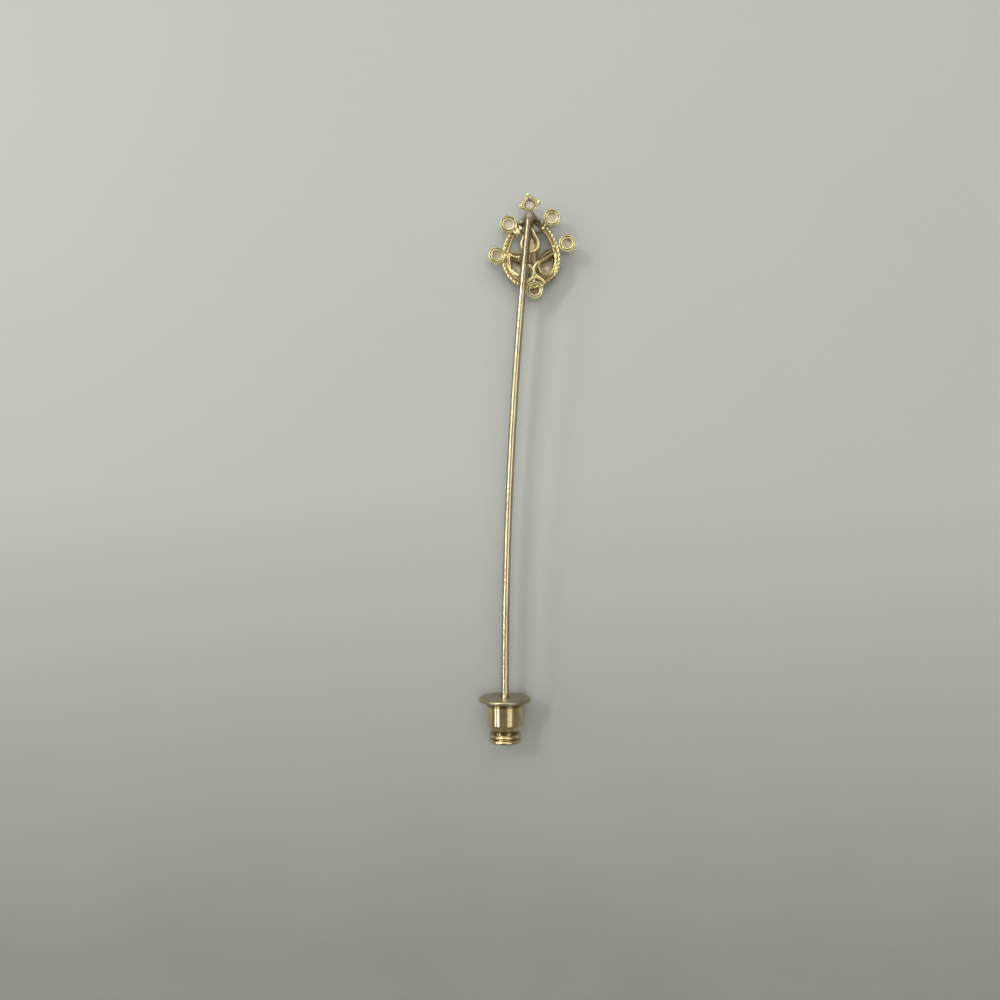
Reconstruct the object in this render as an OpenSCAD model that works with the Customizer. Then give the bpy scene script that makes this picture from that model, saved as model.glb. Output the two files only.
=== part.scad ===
// Stick pin with an openwork head, three pear stones, six small collets and a slip-on clutch.
// It lies on its front: the stones' tables and the clutch's rim touch the ground at z = 0.
// The head points to +Y, the clutch to -Y, and the back of the head faces +Z.

/* [Overall] */
// Length from the tip of the top collet to the end of the clutch
overall_length = 63.2; // [60:0.1:68]
// Sideways distance from the clutch's axis to the middle of the head
head_shift = 3.15; // [2.8:0.01:3.5]
// How much higher the stem lies at the head than at the clutch
stem_rise = 1.2; // [0.9:0.05:1.5]
// Lean of the head to the left, in degrees
head_tilt = 3.35; // [0:0.05:6]

/* [Stem] */
// Thickness of the stem
stem_d = 0.86; // [0.8:0.02:0.86]
// Length of the stem hidden in the clutch
stem_hidden = 4.3; // [4:0.1:4.5]
// Length of the ground point
point_len = 1.7; // [1.2:0.1:2.4]
// Radius of the blunt tip
tip_r = 0.1; // [0.06:0.01:0.14]

/* [Border] */
// Radius of the round bottom of the border
border_r = 3.45; // [3.3:0.01:3.6]
// Radius of the border's two bowed sides
side_r = 6.5; // [6:0.1:7]
// Height of the border's point above the middle of its round bottom
border_point = 5.4; // [5.2:0.05:5.6]
// Width of the flat band
band_w = 0.72; // [0.6:0.02:0.8]
// Turn of the border about its point, in degrees
border_turn = -2; // [-3:0.5:0]
// Thickness of the flat band
band_t = 0.6; // [0.5:0.05:0.7]
// Width of the rope edge that stands on the band
rope_d = 0.56; // [0.5:0.02:0.6]
// Distance from one turn of the rope edge to the next
rope_pitch = 0.56; // [0.54:0.02:0.7]

/* [Stone cells] */
// Wall of the cells' back tubes
cell_wall = 0.18; // [0.14:0.01:0.24]
// How much wider the cells get at the front
cell_flare = 0.2; // [0.16:0.01:0.24]
// Height of the cells' back rims above the ground
cell_back = 3; // [2.8:0.05:3.1]
// Height where the pear stones are widest
girdle_z = 0.75; // [0.65:0.05:0.85]
// Outward turn of the side cells, in degrees
side_turn = 35; // [30:1:40]

/* [Collets] */
// Widest radius of the round collets
collet_r = 1; // [0.96:0.01:1.04]
// Radius of the hole in the back of the round collets
collet_hole_r = 0.57; // [0.52:0.01:0.6]
// Height of the collets from front to back
collet_h = 0.95; // [0.9:0.05:1.05]
// Height of the collets' back rims above the ground
collet_back = 3.4; // [3.2:0.05:3.5]
// Outward lean of the four side collets, in degrees
collet_lean = 6; // [0:1:8]
// Half the diagonal of the square top collet
top_half = 1.25; // [1.2:0.01:1.3]

/* [Clutch] */
// Diameter of the clutch's face plate
flange_d = 6; // [5.8:0.1:6.2]
// Thickness of the face plate
flange_t = 0.5; // [0.45:0.05:0.6]
// Diameter of the barrel
barrel_d = 4.2; // [4.05:0.05:4.3]
// Diameter of the waist behind the barrel
waist_d = 3.3; // [3.2:0.05:3.4]
// Diameter of the beaded foot
foot_d = 3.85; // [3.75:0.05:4]
// Full length of the clutch
clutch_len = 5.2; // [5.1:0.1:5.4]
// Wall of the barrel
barrel_wall = 0.3; // [0.25:0.01:0.35]

/* [Fits] */
// Radial play between the stem and the grip
grip_play = 0.03; // [0.02:0.01:0.05]
// Gap left between pieces that are pressed together
seat_gap = 0.02; // [0.02:0.01:0.04]

/* [Hidden] */
fine = 48;
bow_fine = 1440;
brass = [0.76, 0.62, 0.28];
dark_glass = [0.3, 0.15, 0.1];
clear_glass = [0.93, 0.9, 0.84];

// Middles of the collets in the head's own plane, right and up from the head's middle
top_at = [0.02, 5.43];
upper_right_at = [2.46, 3.7];
right_at = [4.04, 0.65];
bottom_at = [0, -4.46];
left_at = [-4.1, -0.25];
upper_left_at = [-2.55, 3.23];
round_ats = [upper_right_at, right_at, bottom_at, left_at, upper_left_at];
top_turn = 10;
prong_r = 0.16;
// Front wall of the round collets, and the depth of the seat behind it
bezel_w = 0.2;
seat_depth = 0.3;
stone_r = collet_r - bezel_w - 2 * seat_gap;
top_stone_r = 0.62;

// The row is centred on its own box: clutch rim to right collet, and clutch end to top prong
right_reach = turned(right_at, head_tilt).x + collet_r * cos(collet_lean) + collet_h * sin(collet_lean);
prong_reach = (top_half - prong_r) * cos(top_turn + head_tilt) + prong_r;
top_reach = turned(top_at, head_tilt).y + prong_reach;
middle_x = (head_shift + right_reach - flange_d / 2) / 2;
clutch_x = -middle_x;
head_at = [head_shift - middle_x, overall_length / 2 - top_reach];
flange_y = clutch_len - overall_length / 2;
axis_z = flange_d / 2;

// The stem leaves the clutch level and bows on one arc to its end on the head
stem_end = [-0.1, 4.27];
stem_top = head_at + turned(stem_end, head_tilt);
bow_run = stem_top.y - flange_y;
bow_side = norm([stem_top.x - clutch_x, stem_rise]);
bow_angle = 2 * atan(bow_side / bow_run);
bow_r = bow_run / sin(bow_angle);
bow_roll = atan2(stem_rise, stem_top.x - clutch_x);
stem_r = stem_d / 2;

// Depths in the clutch, from its face: the flange's collar, and where the barrel starts to taper
collar_len = 0.35;
shoulder = 3.15;

// Heights in the head
border_mid = [0, -0.9];
border_z = 2.85;
rope_z = 2.9;
rope_r = rope_d / 2;
bar_z = 2.35;
bar_t = 0.5;
scroll_t = 0.44;
scroll_w = 0.26;
bezel_front = 0.5;
bezel_back = 1.4;
// The stones' thinnest layers
slice = 0.01;

// Each pear is [middle of its round end, radius, distance from there to its point, turn]
centre_pear = [[-0.2, 0.95], 1.06, 2.5, 0];
right_pear = [[1.63, -1.79], 1.06, 2.05, -side_turn];
left_pear = [[-1.63, -1.79], 1.06, 2.05, side_turn];

// Bars that both halves of the head have, and the one in the middle, as [start, end, width]
side_bars = [[[0.35, 2.25], [2.1, 2.35], 0.34],
             [[0.3, -1.15], [2.75, 0.45], 0.36],
             [[0.15, 2.7], [0.3, 4], 0.3]];
mid_bar = [[-0.1, -1.3], [-0.1, 0], 0.7];
// Scrolls, as [middle, radius, first angle, last angle]
scrolls = [[[-1.15, -2.4], 1.03, -60, 60],
           [[0.98, -2.15], 0.95, 110, 250],
           [[0.15, -4.2], 1.2, 30, 150]];
// Where the two runs of solder end on the border
solder_feet = [[-1.1, 3.45], [1, 3.6]];

function turned(p, a) = [p.x * cos(a) - p.y * sin(a), p.x * sin(a) + p.y * cos(a)];
// Where the side arcs meet the round bottom, and where they meet each other at the point
blend_angle = asin((side_r ^ 2 - (side_r - border_r) ^ 2 - border_point ^ 2)
                   / (2 * border_point * (side_r - border_r)));
side_mid = border_mid - (side_r - border_r) * [cos(blend_angle), sin(blend_angle)];
function point_angle(r) = acos(-side_mid.x / r);

// Places a shape that is drawn in the head's own plane
module on_head() {
    translate([head_at.x, head_at.y, 0])
        rotate([0, 0, head_tilt])
            children();
}

// Outline of the border, drawn inwards by a margin
module border_outline(inset) {
    translate(border_mid)
        circle(border_r - inset, $fn = 96);
    intersection() {
        translate(side_mid)
            circle(side_r - inset, $fn = 96);
        translate([-side_mid.x, side_mid.y])
            circle(side_r - inset, $fn = 96);
        translate([-side_r, border_mid.y + border_r * sin(blend_angle)])
            square([2 * side_r, 2 * side_r]);
    }
}

// Turns of the rope edge along one arc, as beads set at even steps
module arc_beads(mid, r, from, to) {
    count = round((to - from) / 360 * 2 * PI * r / rope_pitch);
    for (i = [0:count - 1])
        let (a = from + (to - from) * (i + 0.5) / count)
            translate([mid.x + r * cos(a), mid.y + r * sin(a), rope_z])
                sphere(rope_r, $fn = 24);
}

// Flat band with the rope edge standing on its outer rim, turned a little about its point
module border() {
    margin = 0.08;
    side = side_r - rope_r;
    bead_tip = point_angle(side);
    point_y = border_mid.y + border_point;
    translate([0, point_y, 0])
        rotate([0, 0, border_turn])
            translate([0, -point_y, 0]) {
                translate([0, 0, border_z - band_t])
                    linear_extrude(band_t)
                        difference() {
                            border_outline(margin);
                            border_outline(margin + band_w);
                        }
                arc_beads(border_mid, border_r - rope_r, 180 - blend_angle, 360 + blend_angle);
                for (way = [0, 1])
                    mirror([way, 0, 0])
                        arc_beads(side_mid, side, blend_angle, bead_tip);
            }
}

// Pear outline: a circle and the two lines that touch it from the point
module pear_outline(r, tip) {
    touch = asin(r / tip);
    circle(r, $fn = fine);
    polygon([[0, tip], [-r * cos(touch), r * sin(touch)], [r * cos(touch), r * sin(touch)]]);
}

module place_pear(pear) {
    translate([pear[0].x, pear[0].y])
        rotate([0, 0, pear[3]])
            children();
}

// Cell: a narrow tube behind, and a wider bezel in front that holds the stone
module cell(pear) {
    r = pear[1];
    tip = pear[2];
    grow = tip / r;
    inner = r - cell_wall;
    bezel = r + cell_flare;
    pocket = r - cell_flare / 2 + seat_gap;
    pocket_back = girdle_z + 0.3;
    place_pear(pear)
        difference() {
            union() {
                translate([0, 0, bezel_front])
                    linear_extrude(cell_back - bezel_front)
                        pear_outline(r, tip);
                translate([0, 0, bezel_front])
                    linear_extrude(bezel_back - bezel_front)
                        pear_outline(bezel, bezel * grow);
            }
            linear_extrude(cell_back + 1)
                pear_outline(inner, inner * grow);
            linear_extrude(pocket_back)
                pear_outline(pocket, pocket * grow);
        }
}

// Cut pear stone: table on the ground, girdle in the bezel, keel pointing into the cell
module pear_stone(pear) {
    r = pear[1] - cell_flare / 2 - seat_gap;
    grow = pear[2] / pear[1];
    table = 0.55 * r;
    girdle_t = 0.1;
    belly = 0.62 * r;
    belly_z = girdle_z + 0.55;
    keel = 0.3;
    keel_z = girdle_z + 1;
    color(dark_glass)
        on_head()
            place_pear(pear)
                hull() {
                    linear_extrude(slice)
                        pear_gem(table, table * grow, 10);
                    translate([0, 0, girdle_z - girdle_t / 2])
                        linear_extrude(girdle_t)
                            pear_gem(r, r * grow, 20);
                    translate([0, 0, belly_z])
                        linear_extrude(slice)
                            pear_gem(belly, belly * grow, 10);
                    translate([0, 0, keel_z])
                        linear_extrude(slice)
                            pear_gem(keel / 2, keel, 6);
                }
}

// Pear outline with a few straight sides, as a stone is cut
module pear_gem(r, tip, sides) {
    touch = asin(r / tip);
    sweep = 180 + 2 * touch;
    corners = [for (i = [0:sides]) let (a = 180 - touch + sweep * i / sides) r * [cos(a), sin(a)]];
    polygon(concat([[0, tip]], corners));
}

// Flat wire bent to part of a circle
module arc_wire(mid, r, from, to) {
    translate([mid.x, mid.y, bar_z])
        rotate([0, 0, from])
            rotate_extrude(angle = to - from, $fn = 96)
                translate([r - scroll_w / 2, 0])
                    square([scroll_w, scroll_t]);
}

// Straight bar between two points of the head's plane
module bar(a, b, w) {
    step = b - a;
    translate([a.x, a.y, bar_z])
        rotate([0, 0, atan2(step.y, step.x)])
            translate([0, -w / 2, 0])
                cube([norm(step), w, bar_t]);
}

// Bars and scrolls that fill the border between the cells
module filigree() {
    for (way = [0, 1])
        mirror([way, 0, 0])
            for (b = side_bars)
                bar(b[0], b[1], b[2]);
    bar(mid_bar[0], mid_bar[1], mid_bar[2]);
    for (s = scrolls)
        arc_wire(s[0], s[1], s[2], s[3]);
}

// Round collet, drawn upright on its own axis with its back at z = 0
module round_collet() {
    rim_r = collet_hole_r + 0.15;
    groove = 0.15;
    groove_in = rim_r + 0.04;
    groove_out = rim_r + 0.1;
    edge = 0.06;
    ledge = seat_depth - collet_h;
    rotate_extrude($fn = fine)
        polygon([[collet_hole_r, 0], [rim_r, 0], [groove_in, -groove], [groove_out, -groove],
                 [groove_out + edge, -edge], [collet_r - edge, -edge], [collet_r, -groove],
                 [collet_r, -collet_h], [collet_r - bezel_w, -collet_h],
                 [collet_r - bezel_w, ledge], [collet_hole_r, ledge + edge]]);
}

// Leans a collet's front outwards, away from the middle of the head
module place_collet(at, lean) {
    translate([at.x, at.y, collet_back])
        rotate([0, 0, atan2(at.y, at.x)])
            rotate([0, -lean, 0])
                children();
}

// Solder joint between a collet and the border
module collet_joint(at) {
    joint_r = 0.24;
    joint_len = 0.75;
    towards = [0, 0.35 * at.y] - at;
    translate([at.x, at.y, border_z - joint_r])
        rotate([0, 0, atan2(towards.y, towards.x)])
            translate([collet_r - joint_r, 0, 0])
                rotate([0, 90, 0])
                    cylinder(h = joint_len, r = joint_r, $fn = fine);
}

// Square collet at the top, turned to stand on its corner, with four prongs
module square_collet() {
    side = top_half * sqrt(2) - 0.2;
    hole = 0.74;
    wall_h = collet_h - 0.1;
    prong_front = 0.25;
    translate([top_at.x, top_at.y, collet_back - collet_h])
        rotate([0, 0, top_turn]) {
            difference() {
                rotate([0, 0, 45])
                    linear_extrude(wall_h)
                        difference() {
                            square(side, center = true);
                            square(hole, center = true);
                        }
                translate([0, 0, -1])
                    cylinder(h = 1 + seat_depth, r = top_stone_r + seat_gap, $fn = fine);
            }
            for (quarter = [0:90:270])
                rotate([0, 0, quarter])
                    translate([top_half - prong_r, 0, -prong_front])
                        cylinder(h = collet_h + prong_front, r = prong_r, $fn = fine);
        }
}

// Small stone: flat back, and an eight-sided table that faces the ground
module small_stone(r) {
    crown = 0.22;
    girdle = 0.06;
    hull() {
        translate([0, 0, -collet_h - crown])
            linear_extrude(slice)
                circle(0.55 * r, $fn = 8);
        translate([0, 0, girdle - collet_h])
            linear_extrude(girdle)
                circle(r, $fn = 16);
        translate([0, 0, seat_depth - collet_h - seat_gap - slice])
            linear_extrude(slice)
                circle(0.8 * r, $fn = 16);
    }
}

// Solder run over the border's point, heaped under the end of the stem
module solder() {
    root = [stem_end.x, stem_end.y - 0.2];
    run_r = 0.37;
    run_z = rope_z + 0.25;
    foot_z = rope_z + 0.22;
    heap_z = 2.6;
    heap_top = axis_z + stem_rise - 0.1;
    heap_top_r = 0.5;
    for (foot = solder_feet) {
        run = foot - root;
        translate([root.x, root.y, run_z])
            rotate([0, 0, atan2(run.y, run.x)])
                rotate([0, 90, 0])
                    cylinder(h = norm(run), r = run_r, $fn = fine);
        translate([foot.x, foot.y, foot_z])
            sphere(1.2 * run_r, $fn = fine);
    }
    translate([root.x, root.y, heap_z])
        cylinder(h = heap_top - heap_z, r1 = 2 * stem_r, r2 = heap_top_r, $fn = fine);
}

// Stem: an arc from the head to the clutch, then straight to the ground point
module stem() {
    shank = stem_hidden - point_len;
    translate([clutch_x, flange_y, axis_z]) {
        rotate([0, -bow_roll, 0])
            translate([bow_r, 0, 0])
                mirror([1, 0, 0])
                    rotate_extrude(angle = bow_angle, $fn = bow_fine)
                        translate([bow_r, 0])
                            circle(stem_r, $fn = 32);
        rotate([90, 0, 0])
            cylinder(h = shank, r = stem_r, $fn = 32);
        translate([0, -shank, 0])
            rotate([90, 0, 0])
                cylinder(h = point_len, r1 = stem_r, r2 = tip_r, $fn = 32);
    }
}

module head_and_stem() {
    color(brass) {
        on_head() {
            difference() {
                union() {
                    border();
                    filigree();
                }
                place_collet(bottom_at, 0)
                    translate([0, 0, -2 * collet_h])
                        cylinder(h = 3 * collet_h, r = collet_r - bezel_w / 2, $fn = fine);
            }
            cell(centre_pear);
            cell(left_pear);
            cell(right_pear);
            for (at = round_ats) {
                place_collet(at, at == bottom_at ? 0 : collet_lean)
                    round_collet();
                collet_joint(at);
            }
            square_collet();
            solder();
        }
        stem();
    }
}

module collet_stone(at, lean, r) {
    color(clear_glass)
        on_head()
            place_collet(at, lean)
                small_stone(r);
}

// Turns a profile drawn along the clutch into a body round the stem, front at the face plate
module along_clutch() {
    translate([clutch_x, flange_y, axis_z])
        rotate([90, 0, 0])
            children();
}

// Face plate with a short collar that sits in the barrel
module clutch_flange() {
    bore = stem_r + grip_play + 0.06;
    edge = 0.12;
    collar = barrel_d / 2 - barrel_wall - seat_gap;
    back = flange_t + collar_len;
    color(brass)
        along_clutch()
            rotate_extrude($fn = fine)
                polygon([[bore, 0], [flange_d / 2 - edge, 0], [flange_d / 2, edge],
                         [flange_d / 2, flange_t], [collar, flange_t],
                         [collar, back], [bore, back]]);
}

// Barrel, tapered waist and beaded foot with a closed end
module clutch_barrel() {
    front = flange_t + seat_gap;
    barrel_r = barrel_d / 2;
    inner = barrel_r - barrel_wall;
    waist_r = waist_d / 2;
    waist_at = 3.8;
    foot_at = 4.17;
    bead_r = foot_d / 2 - 0.1;
    foot_r = foot_d / 2;
    bore = stem_r + 0.2;
    blind = stem_hidden + 0.4;
    color(brass)
        along_clutch()
            rotate_extrude($fn = fine)
                polygon([[inner, front], [barrel_r, front], [barrel_r, shoulder],
                         [waist_r, waist_at], [waist_r, foot_at],
                         [bead_r - 0.1, foot_at + 0.1], [bead_r, foot_at + 0.3],
                         [bead_r - 0.12, foot_at + 0.52], [foot_r, clutch_len - 0.33],
                         [foot_r, clutch_len - 0.17], [foot_r - 0.25, clutch_len],
                         [0, clutch_len], [0, blind],
                         [bore, blind], [bore, shoulder], [inner, shoulder]]);
}

// Hidden sleeve that grips the stem
module clutch_grip() {
    front = flange_t + collar_len + seat_gap;
    outer = barrel_d / 2 - barrel_wall - seat_gap;
    bore = stem_r + grip_play;
    grip_end = shoulder - seat_gap;
    color("silver")
        along_clutch()
            rotate_extrude($fn = fine)
                translate([bore, front])
                    square([outer - bore, grip_end - front]);
}

head_and_stem();
pear_stone(centre_pear);  // stone_centre
pear_stone(left_pear);  // stone_left
pear_stone(right_pear);  // stone_right
collet_stone(top_at, 0, top_stone_r);  // stone_top
collet_stone(upper_right_at, collet_lean, stone_r);  // stone_upper_right
collet_stone(right_at, collet_lean, stone_r);  // stone_right_side
collet_stone(bottom_at, 0, stone_r);  // stone_bottom
collet_stone(left_at, collet_lean, stone_r);  // stone_left_side
collet_stone(upper_left_at, collet_lean, stone_r);  // stone_upper_left
clutch_flange();
clutch_barrel();
clutch_grip();
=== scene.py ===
# %% [markdown]
# # A stick pin lying on its face
# The thing is 63 mm long: an openwork head with three pear stones and six small collets, a long
# wire stem that is soldered to the head's back, and a slip-on clutch on the sharp end. It lies on
# its front, so the camera looks at the back of the head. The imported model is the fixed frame, in
# metres, and every new piece is built on its places.

from math import acos, asin, atan2, cos, pi, radians, sin

import bmesh
import bpy
from mathutils import Matrix, Vector


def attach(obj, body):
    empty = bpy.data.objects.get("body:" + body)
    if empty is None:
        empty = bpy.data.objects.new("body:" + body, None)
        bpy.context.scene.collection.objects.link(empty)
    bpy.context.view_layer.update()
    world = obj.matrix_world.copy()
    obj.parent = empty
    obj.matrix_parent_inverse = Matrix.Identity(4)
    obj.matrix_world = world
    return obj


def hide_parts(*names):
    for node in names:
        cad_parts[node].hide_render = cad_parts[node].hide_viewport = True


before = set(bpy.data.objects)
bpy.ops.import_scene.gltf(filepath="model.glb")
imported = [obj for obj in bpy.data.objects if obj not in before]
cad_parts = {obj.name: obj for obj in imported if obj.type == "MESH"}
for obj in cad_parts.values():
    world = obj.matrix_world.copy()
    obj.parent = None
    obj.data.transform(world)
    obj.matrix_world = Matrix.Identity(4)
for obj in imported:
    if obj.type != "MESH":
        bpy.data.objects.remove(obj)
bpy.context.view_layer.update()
MM = 0.001


print("nodes:", sorted(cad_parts))

# %% [markdown]
# ## The camera
# The picture was taken from straight above. The face plate of the clutch stands on edge, and a thin
# slice of its front still shows, so the camera was near: 124 mm above the floor and a little below
# and left of the middle. The camera comes first.

# %% Set the camera
EYE = Vector((-3.196, -3.68, 124.0))
camera = bpy.data.objects.new("camera", bpy.data.cameras.new("camera"))
camera.location = EYE * MM
camera.data.sensor_width = 36.0
camera.data.lens = 37.8
camera.data.clip_start = 0.005
camera.data.clip_end = 10.0
bpy.context.scene.collection.objects.link(camera)
bpy.context.scene.camera = camera
print("camera at", [round(v, 4) for v in camera.location])

# %% [markdown]
# ## Places on the pin
# The head is drawn in its own flat plane, with its middle at the origin, and then set down on the
# pin, turned a few degrees. The clutch is drawn upright round the Z axis, and then laid along the
# stem. Two matrices do this for every piece, so each can be drawn where it is easiest to think
# about. All drawing is in millimetres.

# %% Name the places
HEAD = Matrix.Translation((0.5306, 24.9576, 0)) @ Matrix.Rotation(radians(3.35), 4, "Z")
FACE_X, FACE_Y, AXIS_Z = -2.6194, -26.4, 3.0
CLUTCH = Matrix.Translation((FACE_X, FACE_Y, AXIS_Z)) @ Matrix.Rotation(radians(90), 4, "X")
UP = Vector((0, 0, 1))
COLLET_BACK, COLLET_TALL, COLLET_LEAN = 3.4, 0.95, 6
COLLETS = {"upper_right": (2.46, 3.7), "right": (4.04, 0.65), "bottom": (0.0, -4.46),
           "left": (-4.1, -0.25), "upper_left": (-2.55, 3.23)}
TOP_AT = (0.02, 5.43)
# Each pear: the middle of its round end, its radius, how far off its point is, and its turn
PEARS = {"centre": (-0.2, 0.95, 1.06, 2.5, 0), "right": (1.63, -1.79, 1.06, 2.05, -35),
         "left": (-1.63, -1.79, 1.06, 2.05, 35)}


def on_head(x, y, z=0.0):
    """A point of the head's own plane, or above it, in its place on the pin."""
    return HEAD @ Vector((x, y, z))


print("head at", [round(v, 2) for v in HEAD.translation])
print("clutch at", [round(v, 2) for v in CLUTCH.translation])

# %% [markdown]
# ## Worn gilding
# Gilded brass is never one even colour. The gold is thin, so it goes brown in the low places, dull
# in patches, and carries fine dents and rubbing. Three masks make this: slow clouds, fine grain and
# small specks. They sit in one shader group, so that each gold can use them with its own amounts.
# The group hands out a colour, a roughness and a height. The shader itself stays in the material,
# where its plain values can be read.

# %% Wire up nodes
def group_sockets(group, into, out):
    """Gives a node group its named inputs, with their first values, and its outputs."""
    for name, kind, value in into:
        socket = group.interface.new_socket(name, in_out="INPUT", socket_type=kind)
        socket.default_value = value
    for name, kind in out:
        group.interface.new_socket(name, in_out="OUTPUT", socket_type=kind)
    return group.nodes.new("NodeGroupInput"), group.nodes.new("NodeGroupOutput")


def add(tree, kind, **values):
    """Adds one node, sets its properties, and sets its inputs by their names."""
    node = tree.nodes.new(kind)
    for name, value in values.items():
        if hasattr(node, name):
            setattr(node, name, value)
        else:
            node.inputs[name.replace("_", " ")].default_value = value
    return node


def feed(tree, sockets, values):
    """Sets inputs in turn, each from another node's socket or from plain numbers."""
    for socket, value in zip(sockets, values):
        if isinstance(value, bpy.types.NodeSocket):
            tree.links.new(value, socket)
        else:
            socket.default_value = value


def noise(tree, vector, scale, detail=3.0):
    """A cloud pattern in real millimetres: scale is how many clouds fit in 1 mm."""
    node = add(tree, "ShaderNodeTexNoise", Scale=1000.0 * scale, Detail=detail, Roughness=0.55)
    tree.links.new(vector, node.inputs["Vector"])
    return node.outputs["Fac"]


def spread(tree, value, low, high, to_low=0.0, to_high=1.0):
    """Maps a value's range to another one, and holds it there."""
    node = add(tree, "ShaderNodeMapRange", clamp=True)
    feed(tree, node.inputs, (value, low, high, to_low, to_high))
    return node.outputs[0]


def blend_colour(tree, fac, a, b):
    """Mixes two colours. Each may be a socket or plain numbers."""
    node = add(tree, "ShaderNodeMix", data_type="RGBA")
    feed(tree, (node.inputs[0], node.inputs[6], node.inputs[7]), (fac, a, b))
    return node.outputs[2]


def maths(tree, kind, a, b):
    """Puts two values through one sum. Each may be a socket or a number."""
    node = add(tree, "ShaderNodeMath", operation=kind)
    feed(tree, node.inputs, (a, b))
    return node.outputs[0]


def axis_of(tree, vector, axis):
    """One axis of a vector, by its letter."""
    node = tree.nodes.new("ShaderNodeSeparateXYZ")
    tree.links.new(vector, node.inputs[0])
    return node.outputs[axis]


print("node helpers ready")


# %% Build the wear group
def make_wear_group():
    """Colour, roughness and height of worn gilding, from clouds, grain and specks."""
    group = bpy.data.node_groups.new("worn_gilding", "ShaderNodeTree")
    into, out = group_sockets(
        group,
        [("Vector", "NodeSocketVector", (0, 0, 0)),
         ("Gold", "NodeSocketColor", (0.8, 0.6, 0.25, 1)),
         ("Tarnish", "NodeSocketColor", (0.25, 0.17, 0.07, 1)),
         ("Tarnish Amount", "NodeSocketFloat", 0.5),
         ("Speck Amount", "NodeSocketFloat", 0.5),
         ("Smooth", "NodeSocketFloat", 0.15),
         ("Dull", "NodeSocketFloat", 0.4)],
        [("Color", "NodeSocketColor"), ("Roughness", "NodeSocketFloat"),
         ("Height", "NodeSocketFloat")])
    given = into.outputs
    clouds = noise(group, given["Vector"], 0.9)
    grain = noise(group, given["Vector"], 6.0, detail=4.0)
    specks = spread(group, noise(group, given["Vector"], 3.2, detail=2.0), 0.63, 0.7)
    dull = maths(group, "MULTIPLY", spread(group, clouds, 0.4, 0.72), given["Tarnish Amount"])
    dark = maths(group, "MULTIPLY", specks, given["Speck Amount"])
    both = maths(group, "MAXIMUM", dull, dark)
    colour = blend_colour(group, both, given["Gold"], given["Tarnish"])
    span = maths(group, "SUBTRACT", given["Dull"], given["Smooth"])
    mixed = maths(group, "ADD", maths(group, "MULTIPLY", grain, 0.5),
                  maths(group, "MULTIPLY", both, 0.7))
    rough = maths(group, "ADD", maths(group, "MULTIPLY", span, mixed), given["Smooth"])
    height = maths(group, "SUBTRACT", maths(group, "MULTIPLY", grain, 0.6),
                   maths(group, "MULTIPLY", dark, 0.5))
    group.links.new(colour, out.inputs["Color"])
    group.links.new(rough, out.inputs["Roughness"])
    group.links.new(height, out.inputs["Height"])
    return group


WEAR = make_wear_group()
print("wear group:", [s.name for s in WEAR.interface.items_tree if s.in_out == "OUTPUT"])

# %% [markdown]
# ## Low places go brown
# Rubbing keeps the high places of the back bright, and dirt and tarnish stay below them. These
# low places lie deep in the openwork too, so their browning is painted shade as well. The head
# lies flat, so the height above the floor says which is which: a second group turns it into a
# mask from 0 at the top to 1 in the low places. It is used by the head's golds only.

# %% Build the low places group
def make_low_group():
    """1 below one height and 0 above another, softened by clouds. All heights are in metres."""
    group = bpy.data.node_groups.new("low_places_tarnish_and_shade", "ShaderNodeTree")
    into, out = group_sockets(
        group,
        [("Vector", "NodeSocketVector", (0, 0, 0)), ("Low", "NodeSocketFloat", 0.002),
         ("High", "NodeSocketFloat", 0.003)],
        [("Mask", "NodeSocketFloat")])
    vector, low, high = list(into.outputs)[:3]
    ramp = spread(group, axis_of(group, vector, "Z"), low, high, 1.0, 0.0)
    uneven = spread(group, noise(group, vector, 1.7), 0.3, 0.7, 0.6, 1.0)
    group.links.new(maths(group, "MULTIPLY", ramp, uneven), out.inputs["Mask"])
    return group


LOW = make_low_group()
print("low places group ready")

# %% [markdown]
# ## One gold for each kind of place
# The same gilding looks different wherever it is handled, soldered or left alone: bright on the
# rims, brown on the bars, grey near the heat of the solder, and dull on the clutch's plate. The
# brown of the bars and of the low places is tarnish together with painted shade. One function
# makes all of them, so they stay one metal. Each gold gives its own colour, its tarnish and how
# much of it there is, and how smooth it is.

# %% Make the golds
BROWN = (0.3, 0.21, 0.09, 1)
# The colour of dirt, and of painted shade in grooves, gaps and shadowed places
DIRT_AND_SHADE_COLOUR = (0.12, 0.085, 0.035, 1)


def new_material(name, **shader):
    """A material with one Principled shader, whose plain values are set on its own sockets."""
    material = bpy.data.materials.new(name)
    material.use_nodes = True
    tree = material.node_tree
    principled = tree.nodes["Principled BSDF"]
    for socket, value in shader.items():
        principled.inputs[socket.replace("_", " ")].default_value = value
    coords = tree.nodes.new("ShaderNodeTexCoord").outputs["Object"]
    return material, tree, principled, coords


def bump(tree, principled, height, depth_mm):
    """Feeds a height pattern to the shader's normal. The depth is in millimetres."""
    node = add(tree, "ShaderNodeBump", Strength=1.0, Distance=depth_mm * MM)
    tree.links.new(height, node.inputs["Height"])
    tree.links.new(node.outputs["Normal"], principled.inputs["Normal"])


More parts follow.
